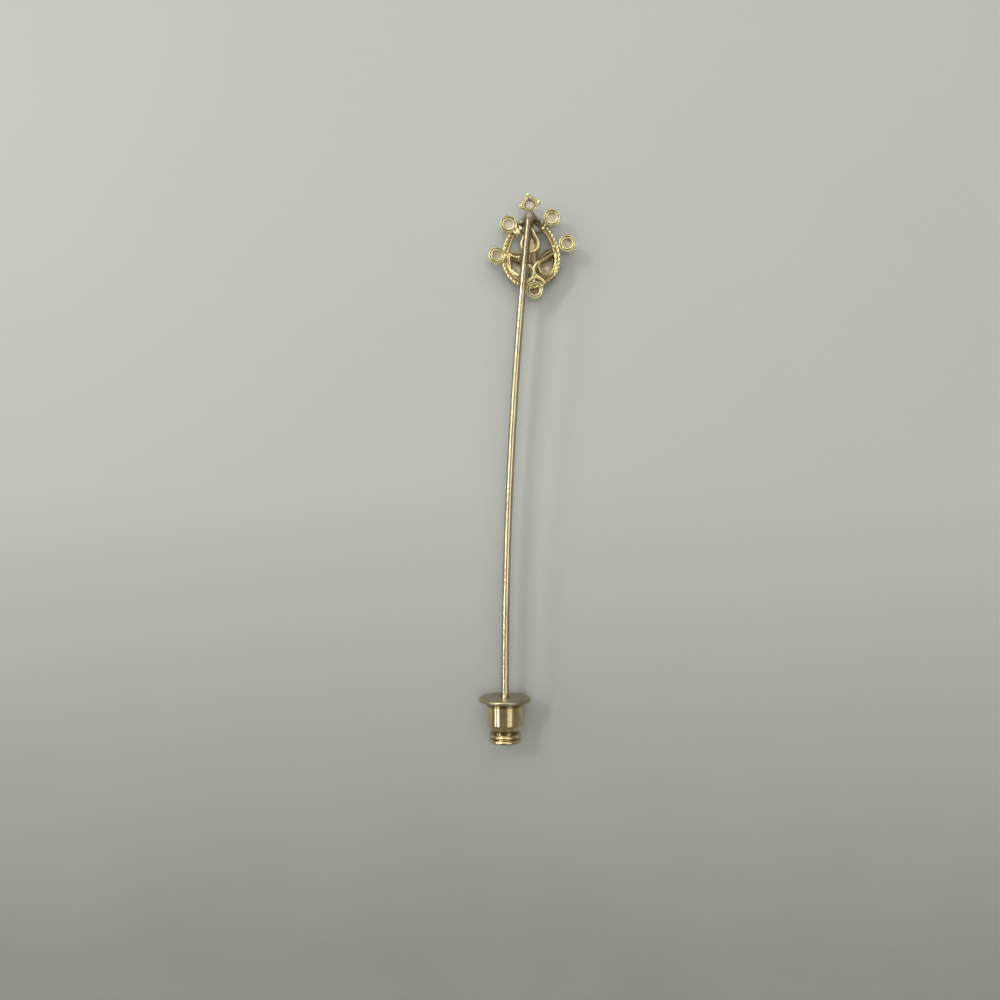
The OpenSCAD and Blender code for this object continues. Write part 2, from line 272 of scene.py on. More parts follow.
def gold(name, colour, tarnished, specks, rough, dents, tarnish_and_shade=BROWN,
         low=None, stretch=None, grey=None, sides=0.0):
    """Gilded brass with its own amounts of wear.

    tarnished and specks are amounts of tarnish in clouds and in specks. rough is its roughness at
    its smoothest and at its dullest, and dents is their depth in mm. tarnish_and_shade is the
    colour of tarnish and of painted shade. low is the two heights in mm between which it goes
    brown, with tarnish and painted shade. stretch draws the pattern out along the pin. grey is a
    colour and the two places along the pin, in mm, between which the gold turns to it. sides is how
    strongly faces that don't look up are darkened towards tarnish_and_shade, as painted shade on a
    wire's sides."""
    material, tree, principled, coords = new_material(name, Metallic=1.0)
    pattern = coords
    if stretch:
        mapping = add(tree, "ShaderNodeMapping", Scale=stretch)
        tree.links.new(coords, mapping.inputs["Vector"])
        pattern = mapping.outputs["Vector"]
    wear = add(tree, "ShaderNodeGroup", node_tree=WEAR)
    amounts = {"Vector": pattern, "Gold": colour, "Tarnish": tarnish_and_shade, "Tarnish Amount": tarnished,
               "Speck Amount": specks, "Smooth": rough[0], "Dull": rough[1]}
    feed(tree, [wear.inputs[socket] for socket in amounts], amounts.values())
    shade, roughness = wear.outputs["Color"], wear.outputs["Roughness"]
    # Tarnish and painted shade: below the low heights the gold goes brown
    if low:
        depths = add(tree, "ShaderNodeGroup", node_tree=LOW)
        feed(tree, depths.inputs, (coords, low[0] * MM, low[1] * MM))
        shade = blend_colour(tree, depths.outputs["Mask"], shade, tarnish_and_shade)
    # Dirt and painted shade from the mesh's own layer darken grooves, gaps and shadowed places
    dirt_and_shade = add(tree, "ShaderNodeAttribute", attribute_name="dirt_and_shade")
    shade = blend_colour(tree, spread(tree, dirt_and_shade.outputs["Fac"], 0.15, 0.75), shade, DIRT_AND_SHADE_COLOUR)
    # Painted shade: faces that don't look up are darkened, as the sides of a wire
    if sides:
        facing = axis_of(tree, coords.node.outputs["Normal"], "Z")
        shade = blend_colour(tree, spread(tree, facing, 0.42, 0.86, sides, 0.0), shade, tarnish_and_shade)
    if grey:
        tone, start, stop = grey
        drift = spread(tree, noise(tree, coords, 1.3), 0.3, 0.7, -MM, MM)
        patchy = maths(tree, "ADD", axis_of(tree, coords, "Y"), drift)
        greyed = spread(tree, patchy, start * MM, stop * MM)
        shade = blend_colour(tree, greyed, shade, tone)
        roughness = maths(tree, "MAXIMUM", roughness, maths(tree, "MULTIPLY", greyed, 0.3))
    tree.links.new(shade, principled.inputs["Base Color"])
    tree.links.new(roughness, principled.inputs["Roughness"])
    bump(tree, principled, wear.outputs["Height"], dents)
    return material


# The head's golds go brown below their low heights: tarnish and painted shade
HEAD_GOLD = gold("head_gold", (1.0, 0.93, 0.57, 1), tarnished=0.28, specks=0.4,
                 rough=(0.2, 0.44), dents=0.012, low=(1.2, 2.7))
CELL_GOLD = gold("cell_gold", (1.0, 0.92, 0.54, 1), tarnished=0.3, specks=0.4,
                 rough=(0.18, 0.42), dents=0.007, low=(0.2, 1.6))
ROPE_GOLD = gold("rope_gold", (1.0, 0.92, 0.55, 1), tarnished=0.28, specks=0.45,
                 rough=(0.16, 0.38), dents=0.012, low=(1.4, 2.7),
                 grey=((0.3, 0.26, 0.18, 1), 26.3, 28.3))
# Darker gold for the recessed bars and band: tarnish and painted shade
BAR_GOLD = gold("tarnished_shaded_gold", (0.5, 0.41, 0.25, 1), tarnished=0.75, specks=0.8,
                rough=(0.25, 0.5), dents=0.03, low=(2.0, 2.95))
# The stem's sides carry painted shade
STEM_GOLD = gold("stem_gold", (0.95, 0.86, 0.6, 1), tarnish_and_shade=(0.27, 0.2, 0.1, 1), tarnished=0.4,
                 specks=0.6, rough=(0.12, 0.26), dents=0.012, stretch=(3.5, 0.2, 3.5),
                 grey=((0.29, 0.245, 0.165, 1), 18.5, 23.5), sides=0.9)
PLATE_GOLD = gold("dull_gold", (0.41, 0.365, 0.26, 1), tarnished=0.5, specks=0.35,
                  rough=(0.3, 0.48), dents=0.008)
CLUTCH_GOLD = gold("clutch_gold", (0.73, 0.61, 0.37, 1), tarnished=0.45, specks=0.4,
                   rough=(0.09, 0.28), dents=0.006)
SOLDER = gold("grey_solder", (0.48, 0.44, 0.35, 1), tarnish_and_shade=(0.28, 0.25, 0.18, 1), tarnished=0.7,
              specks=0.6, rough=(0.48, 0.72), dents=0.06)
print("golds:", [m.name for m in bpy.data.materials if "gold" in m.name or m is SOLDER])

# %% [markdown]
# ## Glass stones
# The pear stones are brown and nearly opaque: foil or paste behind them keeps light out, so they
# let little through, and their colour sits on the surface. The middle one is paler and warmer:
# painted light where the stem shades it. The small one at the bottom is the darkest, and its tint
# also paints the shade in its hole. The other small stones are clear and have flat backs that let
# the pale floor through with a warm tint, partly painted light bounced off the gold. The two at the
# sides are dustier, and their darker colour is painted shade. A faint cloud in the colour and fine
# rubbing in the roughness keep the glass from looking newly made.

# %% Make the glass
def glass(name, clear, cloudy, through, rough):
    """Cut glass: its colour drifts between two tints, and its faces are rubbed here and there."""
    material, tree, principled, coords = new_material(name, IOR=1.52, Transmission_Weight=through)
    drift = spread(tree, noise(tree, coords, 0.8), 0.35, 0.7)
    tree.links.new(blend_colour(tree, drift, clear, cloudy), principled.inputs["Base Color"])
    rubbed = spread(tree, noise(tree, coords, 5.0), 0.45, 0.75, rough[0], rough[1])
    tree.links.new(rubbed, principled.inputs["Roughness"])
    return material


BROWN_GLASS = glass("brown_glass", (0.66, 0.58, 0.46, 1), (0.37, 0.31, 0.23, 1),
                    through=0.15, rough=(0.05, 0.2))
# Paler than the other pears: painted light where the stem shades the middle stone
WARM_GLASS = glass("warm_brown_glass", (1.0, 0.88, 0.68, 1), (0.72, 0.58, 0.42, 1),
                   through=0.15, rough=(0.05, 0.2))
# The darkest glass: its tint also paints the shade in the bottom hole
DEEP_GLASS = glass("deep_brown_glass", (0.17, 0.125, 0.075, 1), (0.1, 0.07, 0.04, 1),
                   through=0.15, rough=(0.05, 0.2))
# The warm tint is partly painted light bounced off the gold
CLEAR_GLASS = glass("clear_glass", (0.94, 0.86, 0.75, 1), (0.84, 0.74, 0.6, 1),
                    through=0.6, rough=(0.04, 0.16))
# Darker than the clear glass: painted shade for the side collets
DUSTY_SHADED_GLASS = glass("dusty_shaded_glass", (0.74, 0.66, 0.52, 1), (0.62, 0.54, 0.41, 1),
                    through=0.6, rough=(0.1, 0.3))
GRIP_METAL, tree, principled, coords = new_material("grip_metal", Metallic=1.0)
cloud = noise(tree, coords, 1.5)
steel = blend_colour(tree, cloud, (0.5, 0.5, 0.48, 1), (0.66, 0.66, 0.63, 1))
tree.links.new(steel, principled.inputs["Base Color"])
tree.links.new(spread(tree, cloud, 0.3, 0.7, 0.3, 0.45), principled.inputs["Roughness"])

TINTED_STONES = {"stone_left": BROWN_GLASS, "stone_right": BROWN_GLASS,
                 "stone_centre": WARM_GLASS, "stone_bottom": DEEP_GLASS,
                 "stone_left_side": DUSTY_SHADED_GLASS, "stone_right_side": DUSTY_SHADED_GLASS}
for name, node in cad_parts.items():
    if name.startswith("stone_"):
        node.material_slots[0].material = TINTED_STONES.get(name, CLEAR_GLASS)
    elif name == "clutch_grip":
        node.material_slots[0].material = GRIP_METAL
print("stones set:", sum(n.startswith("stone_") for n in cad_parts))

# %% [markdown]
# ## Two ways to draw metal
# Nearly everything on the head is wire, and wire is drawn through a hole. The first helper does the
# same: it starts with a ring and carries it along a path by extruding its edge loop from point to
# point. It can flatten the ring, twist it on the way, or make it thinner. The other helper turns a
# profile on a lathe: it rounds the corners of a flat outline and spins its edge once round. Both
# leave closed skins.

# %% Draw wire along a path
def ring_place(path, i, closed, turn, size):
    """Where the ring sits at one point: Z along the path, and Y as nearly upwards as it can."""
    last = len(path) - 1
    before = path[i - 1] if i > 0 or closed else path[i]
    after = path[(i + 1) % len(path)] if i < last or closed else path[i]
    along = (after - before).normalized()
    side = UP.cross(along).normalized()
    basis = Matrix((side, along.cross(side), along)).transposed().to_4x4()
    return (Matrix.Translation(path[i]) @ basis @ Matrix.Rotation(turn, 4, "Z")
            @ Matrix.Diagonal((size, size, 1, 1)))


def dirt_and_shade_layer(bm):
    """The layer of how dark each point is painted, for dirt and shade, made if it isn't there."""
    return bm.verts.layers.float.get("dirt_and_shade") or bm.verts.layers.float.new("dirt_and_shade")


def draw_wire(bm, path, half, sides=12, closed=False, twist=0.0, offset=0.0, sizes=None):
    """Carries an oval ring along the path. half is its half width and half height.

    A strand that is set off from the path gets dirt and painted shade where it lies against the
    path's middle."""
    dirt_and_shade = dirt_and_shade_layer(bm)
    ring = bmesh.ops.create_circle(bm, segments=sides, radius=1.0)["verts"]
    bmesh.ops.scale(bm, vec=(half[0], half[1], 1), verts=ring)
    bmesh.ops.translate(bm, vec=(offset, 0, 0), verts=ring)
    # Painted shade and dirt where the two strands meet
    if offset:
        for vert in ring:
            vert[dirt_and_shade] = max(0.0, 1 - vert.co.length / (abs(offset) + half[0]) * 1.05)
    edges = list({edge for vert in ring for edge in vert.link_edges})
    first = list(edges)
    place = ring_place(path, 0, closed, 0.0, sizes[0] if sizes else 1.0)
    bmesh.ops.transform(bm, matrix=place, verts=ring)
    for i in range(1, len(path)):
        grown = bmesh.ops.extrude_edge_only(bm, edges=edges)["geom"]
        verts = {g for g in grown if isinstance(g, bmesh.types.BMVert)}
        edges = [g for g in grown
                 if isinstance(g, bmesh.types.BMEdge) and verts.issuperset(g.verts)]
        here = ring_place(path, i, closed, twist * i, sizes[i] if sizes else 1.0)
        bmesh.ops.transform(bm, matrix=here @ place.inverted(), verts=list(verts))
        place = here
    if closed:
        bmesh.ops.bridge_loops(bm, edges=first + edges)
    else:
        bmesh.ops.edgeloop_fill(bm, edges=first)
        bmesh.ops.edgeloop_fill(bm, edges=edges)


def bead(bm, at, radius, flat=1.0):
    """A small ball, flattened if asked, such as the end of a scroll."""
    ball = bmesh.ops.create_icosphere(bm, subdivisions=2, radius=radius)["verts"]
    bmesh.ops.scale(bm, vec=(1, 1, flat), verts=ball)
    bmesh.ops.translate(bm, vec=at, verts=ball)


def soil_and_shade(bm, at, reach, dirt_and_shade_amount):
    """Darkens what lies near a place with dirt and painted shade: all of it up to half its reach,
    and none at its end.
    """
    dirt_and_shade = dirt_and_shade_layer(bm)
    for vert in bm.verts:
        near = max(0.0, 1 - (vert.co - at).length / reach)
        vert[dirt_and_shade] = max(vert[dirt_and_shade], dirt_and_shade_amount * min(1.0, 2 * near))


print("wire helpers ready")

# %% Turn a profile
NEAR_AXIS, WELD = 0.001, 0.0004


def round_off(bm, geom, offset, affect="EDGES"):
    """Rounds edges or corners off in three small steps."""
    bmesh.ops.bevel(bm, geom=geom, offset=offset, offset_type="OFFSET", segments=3, profile=0.5,
                    affect=affect, clamp_overlap=True, material=-1)


def turn_profile(bm, corners, rounding, steps, place, dark_corners=(), dirt_and_shade_amount=1.0):
    """Spins a closed outline of (radius, height) corners once round Z, with its corners rounded.

    dark_corners names the corners, by their numbers, that lie in a groove and get dirt and
    painted shade, and dirt_and_shade_amount is how much. place is where the turned piece goes."""
    dirt_and_shade = dirt_and_shade_layer(bm)
    old_faces = set(bm.faces)
    verts = [bm.verts.new((r, 0, h)) for r, h in corners]
    for i in dark_corners:
        verts[i][dirt_and_shade] = dirt_and_shade_amount
    bm.faces.new(verts)
    round_off(bm, [v for v in verts if v.co.x > NEAR_AXIS], rounding, affect="VERTICES")
    outline = [f for f in bm.faces if f not in old_faces]
    edges = list({e for f in outline for e in f.edges if len(e.link_faces) == 1})
    bmesh.ops.delete(bm, geom=outline, context="FACES_ONLY")
    verts = list({v for e in edges for v in e.verts})
    on_axis = [e for e in edges if all(v.co.x < NEAR_AXIS for v in e.verts)]
    edges = [e for e in edges if e not in on_axis]
    before = set(bm.verts) - set(verts)
    bmesh.ops.spin(bm, geom=verts + edges, cent=(0, 0, 0), axis=(0, 0, 1), angle=2 * pi,
                   steps=steps, use_merge=True)
    loose = [e for e in on_axis if e.is_valid and not e.link_faces]
    bmesh.ops.delete(bm, geom=loose, context="EDGES")
    made = [v for v in bm.verts if v not in before]
    bmesh.ops.remove_doubles(bm, verts=made, dist=WELD)
    made = [v for v in bm.verts if v not in before]
    bmesh.ops.transform(bm, matrix=place, verts=made)


print("lathe helper ready")

# %% [markdown]
# ## From drawing to piece
# A finished drawing becomes an object in four steps: double points are merged, its faces are turned
# outwards, it is scaled from millimetres to metres in place, and it is hung on the body that it
# moves with. Edges sharper than a set angle stay crisp, and the rest is shaded smooth.

# %% Finish a piece
def finish_piece(bm, name, body, material, stands_for, crisp=40):
    """Makes a drawing in millimetres into a piece that rides on a body."""
    bmesh.ops.remove_doubles(bm, verts=bm.verts, dist=WELD)
    bmesh.ops.recalc_face_normals(bm, faces=bm.faces)
    bmesh.ops.scale(bm, vec=(MM, MM, MM), verts=bm.verts)
    mesh = bpy.data.meshes.new(name)
    bm.to_mesh(mesh)
    open_edges = sum(len(e.link_faces) != 2 for e in bm.edges)
    bm.free()
    mesh.shade_smooth()
    mesh.set_sharp_from_angle(angle=radians(crisp))
    piece = bpy.data.objects.new(name, mesh)
    bpy.context.scene.collection.objects.link(piece)
    mesh.materials.append(material)
    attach(piece, body)
    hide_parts(*stands_for)
    print(f"{name}: {len(mesh.polygons)} faces, {open_edges} open edges")


print("finishing helper ready")

# %% [markdown]
# ## The border's rope edge
# The border is a pear outline: a round bottom and two bowed sides that meet in a point under the
# solder. On the real pin its outer edge is cast as a twisted rope. A row of beads would look like
# pearls, and a bump would vanish in the outline. Here two thin round wires are twisted round each
# other, which is what a rope edge copies, and where they meet they get dirt and painted shade. On
# the upper left the rope is worn down, so a smooth wire lies over it there. At the lower right it
# is darkened with painted shadow.

# %% Lay out the border's path
BORDER_MID, BORDER_TURN = Vector((0, -0.9)), Matrix.Rotation(radians(-2), 2)
BORDER_R, SIDE_R, POINT = 3.45, 6.5, 5.4


def steps_between(start, stop, count):
    """Evenly spaced values from one to the other, with both."""
    return [start + (stop - start) * i / count for i in range(count + 1)]


def arc(mid, r, start, stop, step):
    """Points on an arc in a plane, about one step apart."""
    count = max(2, round(r * abs(stop - start) / step))
    return [mid + r * Vector((cos(a), sin(a))) for a in steps_between(start, stop, count)]


def border_path(inset, z, step):
    """Points round the border, from its point down the right side and back up the left one."""
    gap = SIDE_R - BORDER_R
    blend = asin((SIDE_R**2 - gap**2 - POINT**2) / (2 * POINT * gap))
    mid = BORDER_MID - gap * Vector((cos(blend), sin(blend)))
    side, low = SIDE_R - inset, BORDER_R - inset
    tip = acos(-mid.x / side)
    down = arc(mid, side, tip, blend, step)[:-1] + arc(BORDER_MID, low, blend, -pi / 2, step)
    both = down + [Vector((-p.x, p.y)) for p in reversed(down[1:-1])]
    hinge = BORDER_MID + Vector((0, POINT))
    return [HEAD @ (hinge + BORDER_TURN @ (p - hinge)).to_3d() + UP * z for p in both]


ROPE_PITCH = 0.96
rope_path = border_path(0.21, 2.92, 0.06)
length = sum((b - a).length for a, b in zip(rope_path, rope_path[1:]))
turns = round(length / ROPE_PITCH)
print("rope path:", len(rope_path), "points,", round(length, 1), "mm,", turns, "turns")

# %% Twist the rope
bm = bmesh.new()
for strand in (-1, 1):
    draw_wire(bm, rope_path, (0.1, 0.13), sides=10, closed=True, offset=0.09 * strand,
              twist=2 * pi * turns / len(rope_path))
FLAT = HEAD.inverted()
worn = [p for p in border_path(0.1, 3.0, 0.1)
        if (FLAT @ p).x < -1 and 0.35 < (FLAT @ p).y < 2.7]
fade = [0.5 + 0.5 * min(1.0, min(i, len(worn) - 1 - i) / 4) for i in range(len(worn))]
draw_wire(bm, worn, (0.1, 0.14), sides=12, sizes=fade)
lip_path = border_path(0.7, 2.84, 0.12)
draw_wire(bm, lip_path, (0.09, 0.14), sides=10, closed=True)
# Painted shadow on the lower right of the border
soil_and_shade(bm, on_head(1.75, -3.45, 2.9), reach=1.15, dirt_and_shade_amount=0.55)
finish_piece(bm, "border_edges", "pin", ROPE_GOLD, ["head_and_stem"])

# %% [markdown]
# ## The flat band under the rope
# The rope stands on a flat band, which also carries a thin raised lip on its inner side. From the
# back, rope and lip are the two parallel bright lines along the lower left, and the band between
# them is brown, with dirt and with painted shade in this low groove. The band is the same wire
# helper with a wide, low ring. The lip was drawn with the rope, because both are rubbed bright.

# %% Draw the band
WHOLE_HEAD = 30
bm = bmesh.new()
draw_wire(bm, border_path(0.44, 2.55, 0.12), (0.36, 0.28), sides=12, closed=True)
# Dirt and painted shade over the whole band
soil_and_shade(bm, HEAD.translation, reach=WHOLE_HEAD, dirt_and_shade_amount=0.36)
finish_piece(bm, "border_band", "pin", BAR_GOLD, ["head_and_stem"])

# %% [markdown]
# ## The cells of the pear stones
# Each pear stone sits at the front in a bezel, and a narrower tube runs back from it to the border.
# From the back one looks down these tubes at the dark stone. The tube's wall is a tall thin ring
# carried round a pear outline. The rim is a round wire on it, which catches a bright line as the
# real rim does.

# %% Build the cells
PEAR_STEPS = 44
BLUNT = 0.12


def pear_path(pear, grow, z):
    """Points round a pear: its round end, then two straight sides that meet in a blunt point."""
    x, y, r, tip, turn = pear
    r, tip = r + grow, (r + grow) * tip / r
    touch = asin(r / tip)
    angles = steps_between(pi - touch, 2 * pi + touch, PEAR_STEPS)
    flat = [r * Vector((cos(a), sin(a))) for a in angles]
    peak = Vector((0, tip))
    flat += [flat[PEAR_STEPS].lerp(peak, f) for f in (0.3, 0.6, 0.85)]
    flat += [peak - Vector((0, BLUNT))]
    flat += [flat[0].lerp(peak, f) for f in (0.85, 0.6, 0.3)]
    spin = Matrix.Rotation(radians(turn), 2)
    return [HEAD @ (Vector((x, y)) + spin @ p).to_3d() + UP * z for p in flat]


bm = bmesh.new()
for name, pear in PEARS.items():
    rim = 0.14 if name == "centre" else 0.11
    # The tube's wall, its back rim, the bezel and the bezel's front edge
    for grow, z, half, sides in ((-0.09, 1.75, (0.08, 1.25), 16), (-0.08, 2.9, (rim, 0.14), 10),
                                 (0.04, 0.95, (0.13, 0.45), 12), (0.1, 0.62, (0.1, 0.12), 8)):
        draw_wire(bm, pear_path(pear, grow, z), half, sides=sides, closed=True)
finish_piece(bm, "stone_cells", "pin", CELL_GOLD, ["head_and_stem"])

# %% [markdown]
# ## Bars and scrolls
# Short bars brace the cells against the border, and small scrolls fill the lower part of the head.
# Castings of this kind have soft round backs, so bars and scrolls are oval wires too, and each
# scroll ends in a bead. A second thin bar runs over the shoulder of the right cell, and the bars
# there are darkened with painted shadow.

# %% Draw the bars
BAR_Z, BAR_TALL = 2.62, 0.24
BARS = [((0.35, 2.25), (2.1, 2.35), 0.17), ((0.3, -1.15), (2.75, 0.45), 0.18),
        ((0.15, 2.7), (0.3, 4.0), 0.15)]
SHOULDER = [(0.5, -1.1), (1.42, -0.02), (1.75, 0.12), (2.85, 0.27)]


def bowed(start, stop, count, rise):
    """Points from one place to another, with the middle raised, or lowered below 0."""
    return [start.lerp(stop, i / count) + UP * rise * sin(pi * i / count)
            for i in range(count + 1)]


bm = bmesh.new()
for (ax, ay), (bx, by), half in BARS:
    for way in (-1, 1):
        path = bowed(on_head(way * ax, ay, BAR_Z), on_head(way * bx, by, BAR_Z), 8, -0.05)
        draw_wire(bm, path, (half, BAR_TALL), sides=12)
middle = [on_head(0.05, -1.3 + 0.2 * i, 2.6) for i in range(7)]
draw_wire(bm, middle, (0.52, BAR_TALL), sides=16)
ends = [on_head(x, y, 2.66) for x, y in SHOULDER]
path = [a.lerp(b, i / 4) for a, b in zip(ends, ends[1:]) for i in range(4)] + [ends[-1]]
draw_wire(bm, path, (0.14, 0.22), sides=12)
# Painted shadow on the bars beside the right cell
soil_and_shade(bm, on_head(1.2, -0.6, 2.6), reach=2.2, dirt_and_shade_amount=0.4)
finish_piece(bm, "bars", "pin", BAR_GOLD, ["head_and_stem"])

# %% Draw the scrolls, the leaf and the beads
SCROLLS = [((-1.07, -2.4), 1.03, -58, 58), ((1.0, -2.15), 0.95, 112, 248),
           ((0.15, -4.2), 1.2, 30, 150)]
LEAF = [((-1.8, 3.0), (-1.05, 1.75)), ((-2.15, 2.62), (-1.4, 1.85)), ((-1.42, 3.12), (-0.8, 2.3))]
BEADS = [(-2.4, -0.36), (-2.12, -0.45), (-1.84, -0.5), (-1.58, -0.52)]
ARC_STEPS, LEAF_STEPS = 20, 10


def flat_arc(mid, r, start, stop, z):
    """Points on an arc in the head's plane, between two angles in degrees."""
    angles = [radians(a) for a in steps_between(start, stop, ARC_STEPS)]
    return [on_head(mid[0] + r * cos(a), mid[1] + r * sin(a), z) for a in angles]


bm = bmesh.new()
for mid, r, start, stop in SCROLLS:
    path = flat_arc(mid, r, start, stop, 2.95)
    draw_wire(bm, path, (0.16, 0.2), sides=12)
    for end in (path[0], path[-1]):
        bead(bm, end + UP * 0.02, 0.17)
# The thick inner side of the left cell's rim
inner_side = flat_arc(PEARS["left"][:2], 0.86, 190, 300, 2.86)
swell = [0.35 + 0.65 * sin(pi * i / ARC_STEPS) for i in range(ARC_STEPS + 1)]
draw_wire(bm, inner_side, (0.26, 0.14), sides=12, sizes=swell)
taper = [0.4 + 0.6 * sin(pi * (i + 1) / (LEAF_STEPS + 2)) for i in range(LEAF_STEPS + 1)]
for start, stop in LEAF:
    path = bowed(on_head(*start, 2.9), on_head(*stop, 2.9), LEAF_STEPS, 0.14)
    draw_wire(bm, path, (0.2, 0.16), sides=14, sizes=taper)
rail = bowed(on_head(-2.6, 0.08, 2.9), on_head(-1.15, -0.18, 2.92), 8, 0.0)
draw_wire(bm, rail, (0.1, 0.13), sides=10)
for x, y in BEADS:
    bead(bm, on_head(x, y, 2.98), 0.14)
finish_piece(bm, "scrolls_and_beads", "pin", HEAD_GOLD, ["head_and_stem"])

# %% [markdown]
# ## The round collets
# Five small turned collets stand round the border, and all but the bottom one lean a little
# outwards. Seen from the back a collet is a ring with a groove in it and a hole in the middle,
# through which the stone's flat back shows. It is turned on the lathe helper from one outline with
# rounded corners, and soldered to the border by a short round joint.

# %% Turn the round collets
COLLET = [(0.57, -0.06), (0.6, -0.01), (0.66, 0.01), (0.72, -0.03), (0.76, -0.12), (0.8, -0.12),
          (0.83, -0.03), (0.89, 0.0), (0.955, -0.05), (0.994, -0.16), (0.994, -COLLET_TALL),
          (0.84, -COLLET_TALL), (0.84, -0.62), (0.57, -0.58)]
GROOVE = (4, 5)
JOINT = [1.0, 1.0, 0.92, 0.86, 0.84, 0.86, 0.92, 1.0, 1.0]


def collet_place(at, lean):
    """Upright at a collet's back rim, leaning away from the middle of the head."""
    outwards = Matrix.Rotation(atan2(at[1], at[0]), 4, "Z")
    return (HEAD @ Matrix.Translation((at[0], at[1], COLLET_BACK)) @ outwards
            @ Matrix.Rotation(radians(-lean), 4, "Y"))


bm = bmesh.new()
for name, at in COLLETS.items():
    place = collet_place(at, 0 if name == "bottom" else COLLET_LEAN)
    # The groove between the two rings gets dirt and painted shade
    turn_profile(bm, COLLET, 0.02, steps=48, place=place, dark_corners=GROOVE)
    towards = Vector((-at[0], 0.35 * at[1] - at[1])).normalized()
    start = Vector(at) + 0.72 * towards
    path = [HEAD @ (start + towards * 0.11 * i).to_3d() + UP * 2.66 for i in range(len(JOINT))]
    draw_wire(bm, path, (0.22, 0.24), sides=12, sizes=JOINT)
finish_piece(bm, "round_collets", "pin", HEAD_GOLD, ["head_and_stem"])

# %% [markdown]
# ## The square collet at the top
# The sixth collet is square and stands on its corner, with a round prong at each corner. Its wall
# is a low square frame: a cone with four sides has its ends inset, and the two insets are bridged
# into a square hole. Two thin rims run round its back, and the frame under them is darkened with
# dirt and painted shade. Years of wear have left the rims uneven.

# %% Build the square collet
SQUARE = (HEAD @ Matrix.Translation((TOP_AT[0], TOP_AT[1], COLLET_BACK - COLLET_TALL))
          @ Matrix.Rotation(radians(10), 4, "Z"))
FRAME_TALL, PRONG_R, PRONG_TALL, PRONG_AT = 0.83, 0.16, 1.2, 1.09


def square_frame(bm, place, half, hole, height, rounding):
    """A square tube on its corner: a four-sided block, both ends inset and bridged into a hole."""
    before = set(bm.verts)
    block = bmesh.ops.create_cone(bm, cap_ends=True, segments=4, radius1=half, radius2=half,
                                  depth=height)["verts"]
    faces = list({f for v in block for f in v.link_faces})
    ends = [f for f in faces if abs(f.calc_center_median().z) > 0.4 * height]
    bmesh.ops.inset_individual(bm, faces=ends, thickness=(half - hole) * cos(pi / 4))
    rims = [list(f.edges) for f in ends]
    bmesh.ops.delete(bm, geom=ends, context="FACES_ONLY")
    bmesh.ops.bridge_loops(bm, edges=rims[0] + rims[1])
    made = [v for v in bm.verts if v not in before]
    round_off(bm, list({e for v in made for e in v.link_edges if e.calc_face_angle(0) > 0.5}),
              rounding)
    made = [v for v in bm.verts if v not in before]
    bmesh.ops.transform(bm, matrix=place @ Matrix.Translation((0, 0, height / 2)), verts=made)


def square_rim(bm, place, half, thick, lumps):
    """A wire round a square that stands on its corner. lumps is how uneven its thickness is."""
    corners = [Vector((half * cos(pi / 2 * i), half * sin(pi / 2 * i), 0)) for i in range(4)]
    flat = [a.lerp(b, (i + 1) / 8)
            for a, b in zip(corners, corners[1:] + corners[:1]) for i in range(7)]
    sizes = [1 + lumps * sin(1.9 * i) for i in range(len(flat))]
    draw_wire(bm, [place @ p for p in flat], (thick, 0.1), sides=10, closed=True, sizes=sizes)


def prong(bm, place, foot):
    """A short round post with softened ends."""
    before = set(bm.verts)
    post = bmesh.ops.create_cone(bm, cap_ends=True, segments=16, radius1=PRONG_R, radius2=PRONG_R,
                                 depth=PRONG_TALL)["verts"]
    edges = {e for v in post for e in v.link_edges}
    round_off(bm, [e for e in edges if abs(e.verts[0].co.z - e.verts[1].co.z) < 0.01], 0.07)
    made = [v for v in bm.verts if v not in before]
    bmesh.ops.transform(bm, matrix=place @ Matrix.Translation((foot.x, foot.y, 0.35)), verts=made)


bm = bmesh.new()
square_frame(bm, SQUARE, 1.08, 0.6, FRAME_TALL, 0.06)
# Dirt and painted shade on the frame
soil_and_shade(bm, on_head(*TOP_AT, 3.3), reach=3.0, dirt_and_shade_amount=0.5)
square_rim(bm, SQUARE @ Matrix.Translation((0, 0, FRAME_TALL)), 1.13, 0.085, 0.25)
square_rim(bm, SQUARE @ Matrix.Translation((0, 0, FRAME_TALL + 0.01)), 0.78, 0.07, 0.15)
for quarter in range(4):
    a = pi / 2 * quarter
    prong(bm, SQUARE, Vector((PRONG_AT * cos(a), PRONG_AT * sin(a))))
finish_piece(bm, "square_collet", "pin", HEAD_GOLD, ["head_and_stem"])

# %% [markdown]
# ## The stem
# The stem is 0.86 mm wire, soldered to the point of the border and bowed a little on its way to the
# clutch. It is one long bow, then a short straight end and a ground point inside the clutch. The
# wire helper draws it, with its size falling to a blunt tip, and a very slight waver along it, as
# drawn wire has after years in a lapel.

# %% Draw the stem
STEM_R, STEM_RISE, STEM_STEPS = 0.43, 1.2, 160
STEM_END = (-0.1, 4.27)
WAVER, WAVES = 0.012, 40.0
